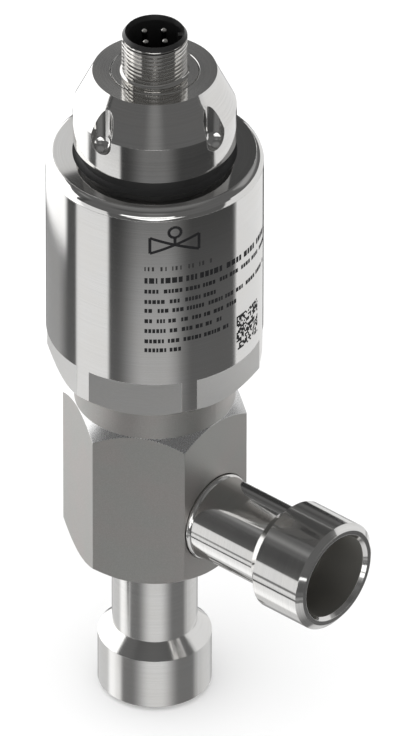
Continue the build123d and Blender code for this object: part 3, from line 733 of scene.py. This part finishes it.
def make_connector_shell(materials):
    """Connector shell with its outer thread cut in; the rest keeps the solid's outline."""
    below = [
        (CONNECTOR_TAIL_BORE_R, INSERT_LOW_Z),
        (CONNECTOR_TAIL_BORE_R, CONNECTOR_LOW_Z),
        (THREAD_R, CONNECTOR_LOW_Z),
        (THREAD_R, CAP_PLATE_Z),
        (FLANGE_R, CAP_PLATE_Z),
        (FLANGE_R, CAP_TOP_Z - FLANGE_BEVEL_DEPTH),
        (FLANGE_R - FLANGE_BEVEL_WIDTH, CAP_TOP_Z),
        (foot_radius(CAP_TOP_Z), CAP_TOP_Z),
    ]
    # Rows of faces that have the cap's finish: the flange's bevel and its top
    polished = (5, 6)
    above = [
        (THREAD_R - LEAD_IN, THREAD_TOP_Z),
        (CONNECTOR_BORE_R, THREAD_TOP_Z),
        (CONNECTOR_BORE_R, INSERT_LOW_Z),
    ]
    rows = len(below) + len(thread_column(0)) + len(above)
    points = []
    for side in range(THREAD_SIDES + 1):
        turn = side / THREAD_SIDES
        points += turned_column(below + thread_column(turn) + above, 2 * pi * turn)
    faces = turned_faces(rows, THREAD_SIDES, THREAD_SIDES + 1)
    metal = materials["connector_metal"]
    shell = add_piece("threaded_shell", points, faces, metal, True)
    shell.data.materials.append(materials["cap"])
    for i, face in enumerate(shell.data.polygons):
        face.material_index = int(i % rows in polished)
    weld(shell.data)
    shell.data.set_sharp_from_angle(angle=SHELL_SHARP)
    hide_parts("connector_shell")


def weld(mesh):
    """Join points that coincide and drop the faces that this closes up."""
    work = bmesh.new()
    work.from_mesh(mesh)
    bmesh.ops.remove_doubles(work, verts=work.verts, dist=WELD_DISTANCE)
    bmesh.ops.dissolve_degenerate(work, edges=work.edges, dist=WELD_DISTANCE)
    work.to_mesh(mesh)
    work.free()


GASKET_SIDES = 144
GASKET_SHARP = radians(40)
# How far the gasket stands out past its solid, and how far it stays below the cap
GASKET_PROUD = 0.01
GASKET_TOP_GAP = 0.02
# The skirt, a thin black sheet laid over the neck and its foot as painted shade: its outer radius on the
# flat, its gap to the steel, its wall and the steps of its curve
SHADE_SKIRT_R = 15.1
SHADE_SKIRT_GAP = 0.01
SHADE_SKIRT_WALL = 0.05
SHADE_SKIRT_STEPS = 8


def neck_foot(lift, start, end):
    """Points beside the neck's concave foot, from 0 at the neck to 90 degrees at the flat."""
    reach = NECK_FOOT_R - NECK_R - lift
    turns = [start + (end - start) * i / SHADE_SKIRT_STEPS for i in range(SHADE_SKIRT_STEPS + 1)]
    return [(NECK_FOOT_R - reach * cos(turn), NECK_TOP_Z - reach * sin(turn)) for turn in turns]


def make_gasket_with_shade_skirt(materials):
    """Cap gasket with a thin black skirt down the neck and over its concave foot; the skirt is painted
    shade.
    """
    top = CAP_LOW_Z - GASKET_TOP_GAP
    side = GASKET_R + GASKET_PROUD
    lift = SHADE_SKIRT_GAP + SHADE_SKIRT_WALL
    side_turn = acos((NECK_FOOT_R - side) / (NECK_FOOT_R - NECK_R - lift))
    outline = [(GASKET_BORE_R, NECK_TOP_Z)]
    # The skirt down the neck and over its foot: a black sheet of painted shade
    outline += neck_foot(SHADE_SKIRT_GAP, 0, radians(90))
    outline += [(SHADE_SKIRT_R, NECK_LOW_Z + SHADE_SKIRT_GAP), (SHADE_SKIRT_R, NECK_LOW_Z + SHADE_SKIRT_WALL)]
    outline += neck_foot(lift, radians(90), side_turn)
    outline += [(side, top), (GASKET_BORE_R, top)]
    points = []
    for i in range(GASKET_SIDES):
        points += turned_column(outline, 2 * pi * i / GASKET_SIDES)
    faces = turned_faces(len(outline), GASKET_SIDES, GASKET_SIDES)
    gasket = add_piece("gasket_with_shade_skirt", points, faces, materials["black_rubber"], True)
    gasket.data.set_sharp_from_angle(angle=GASKET_SHARP)
    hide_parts("cap_gasket")


# Label: a print on the housing. Its places are (length along the wall, height) pairs in mm, with lengths
# from the middle of the outlet's side, positive to the right as seen from there.
PRINT_SEED = 7
PRINT_LIFT = 0.012
PRINT_ARC = 1.0
PRINT_LEFT = radians(-54) * HOUSING_R
# Rows of dashes: (ink, height of the middle, height of the row, length)
PRINT_ROWS = [
    ("faint_ink", 106.9, 1.25, 13.2), ("ink", 104.3, 1.7, 35.0), ("ink", 101.9, 1.2, 34.0),
    ("ink", 99.6, 1.2, 13.9), ("ink", 97.6, 1.2, 30.0), ("ink", 95.3, 1.2, 19.0),
    ("ink", 93.1, 1.2, 15.0), ("ink", 90.8, 1.2, 16.7), ("ink", 88.8, 1.2, 7.1),
]
# Least and greatest length of a group of dashes, widths of a dash and the gap after it, all of them for
# a row of this height
ROW_HEIGHT = 1.25
GROUP_LENGTHS = (1.4, 4.2)
DASH_WIDTHS = (0.42, 0.55, 0.7)
DASH_GAP = 0.2
# The gap after a group, and the length that has to be left in it for another dash
GROUP_GAP = 0.62
LEAST_LENGTH = 0.3
# Half a dash's height as a share of the row's, and the share of a dash that faint ink covers
DASH_HALF_HEIGHT = 0.36
FAINT_SHARE = 0.55
# The valve symbol: middle and foot, half its width and height, stem, round drive, and width of its lines
SYMBOL_MIDDLE = PRINT_LEFT + 5.6
SYMBOL_LOW_Z = 110.4
SYMBOL_HALF_WIDE = 4.6
SYMBOL_HALF_TALL = 1.7
SYMBOL_STEM = 1.6
DRIVE_R = 1.15
DRIVE_SIDES = 16
SYMBOL_LINE = 0.55
# The field of cells: lower left corner, size of a cell, cells to a side, and how likely each is inked
FIELD_LEFT = 0.0
FIELD_LOW_Z = 83.9
FIELD_CELL = 0.36
FIELD_CELLS = 21
FIELD_CHANCE = 0.5


class Print:
    """The thin closed patches of one ink on the housing."""

    def __init__(self):
        self.points = []
        self.faces = []

    def patch(self, corners):
        """One closed patch over these corners."""
        start = len(self.points)
        count = len(corners)
        for radius in (HOUSING_R, HOUSING_R + PRINT_LIFT):
            for across, z in corners:
                turn = across / HOUSING_R
                self.points.append((radius * cos(turn), radius * sin(turn), z))
        self.faces.append(tuple(start + i for i in reversed(range(count))))
        self.faces.append(tuple(start + count + i for i in range(count)))
        for i in range(count):
            j = (i + 1) % count
            self.faces.append((start + i, start + j, start + count + j, start + count + i))

    def bar(self, left, right, low, high):
        """A bar along the wall, cut into short lengths so that it follows the curve."""
        steps = max(1, round((right - left) / PRINT_ARC))
        for i in range(steps):
            a = left + (right - left) * i / steps
            b = left + (right - left) * (i + 1) / steps
            self.patch([(a, low), (b, low), (b, high), (a, high)])

    def stroke(self, start, end):
        """A straight line of the symbol between two places."""
        run, rise = end[0] - start[0], end[1] - start[1]
        length = hypot(run, rise)
        across, up = -rise / length * SYMBOL_LINE / 2, run / length * SYMBOL_LINE / 2
        steps = max(1, round(length / PRINT_ARC))
        for i in range(steps):
            a = (start[0] + run * i / steps, start[1] + rise * i / steps)
            b = (start[0] + run * (i + 1) / steps, start[1] + rise * (i + 1) / steps)
            self.patch([
                (a[0] - across, a[1] - up), (b[0] - across, b[1] - up),
                (b[0] + across, b[1] + up), (a[0] + across, a[1] + up),
            ])

    def strokes(self, places):
        """Lines of the symbol from each place to the next."""
        for one, two in zip(places, places[1:]):
            self.stroke(one, two)


def draw_rows(sheets, chance):
    """Rows of short dashes, in groups of random length."""
    for ink, middle, tall, length in PRINT_ROWS:
        low, high = middle - tall * DASH_HALF_HEIGHT, middle + tall * DASH_HALF_HEIGHT
        at = PRINT_LEFT
        while at < PRINT_LEFT + length:
            group = chance.uniform(*GROUP_LENGTHS) * tall / ROW_HEIGHT
            end = min(at + group, PRINT_LEFT + length)
            while at < end - LEAST_LENGTH:
                wide = chance.choice(DASH_WIDTHS) * tall / ROW_HEIGHT
                inked = wide * FAINT_SHARE if ink == "faint_ink" else wide
                sheets[ink].bar(at, min(at + inked, end), low, high)
                at += wide + DASH_GAP * tall / ROW_HEIGHT
            at = end + GROUP_GAP


def draw_symbol(sheet):
    """The common drawing symbol of a valve: two triangles that meet, a stem and a round drive."""
    middle = SYMBOL_LOW_Z + SYMBOL_HALF_TALL
    left, right = SYMBOL_MIDDLE - SYMBOL_HALF_WIDE, SYMBOL_MIDDLE + SYMBOL_HALF_WIDE
    low, high = middle - SYMBOL_HALF_TALL, middle + SYMBOL_HALF_TALL
    stem_top = middle + SYMBOL_STEM
    sheet.strokes([(left, low), (left, high), (right, low), (right, high), (left, low)])
    sheet.strokes([(SYMBOL_MIDDLE, middle), (SYMBOL_MIDDLE, stem_top)])
    turns = [2 * pi * i / DRIVE_SIDES for i in range(DRIVE_SIDES + 1)]
    sheet.strokes([
        (SYMBOL_MIDDLE + DRIVE_R * sin(turn), stem_top + DRIVE_R - DRIVE_R * cos(turn)) for turn in turns
    ])


def draw_field(sheet, chance):
    """A square field of cells, inked at random."""
    for row in range(FIELD_CELLS):
        for column in range(FIELD_CELLS):
            if chance.random() < FIELD_CHANCE:
                a, z = FIELD_LEFT + column * FIELD_CELL, FIELD_LOW_Z + row * FIELD_CELL
                b, top = a + FIELD_CELL, z + FIELD_CELL
                sheet.patch([(a, z), (b, z), (b, top), (a, top)])


def make_print(materials):
    """Rows of short dashes, a generic valve symbol and a field of seeded cells, none of them text."""
    chance = random.Random(PRINT_SEED)
    sheets = {"ink": Print(), "faint_ink": Print()}
    draw_rows(sheets, chance)
    draw_symbol(sheets["ink"])
    draw_field(sheets["ink"], chance)
    for ink, sheet in sheets.items():
        add_piece("print_" + ink, sheet.points, sheet.faces, materials[ink])


make_camera()
make_world()
make_card()
make_panels()
make_floor()
materials = make_materials()
dress_nodes(materials)
make_connector_shell(materials)
make_gasket_with_shade_skirt(materials)
make_print(materials)
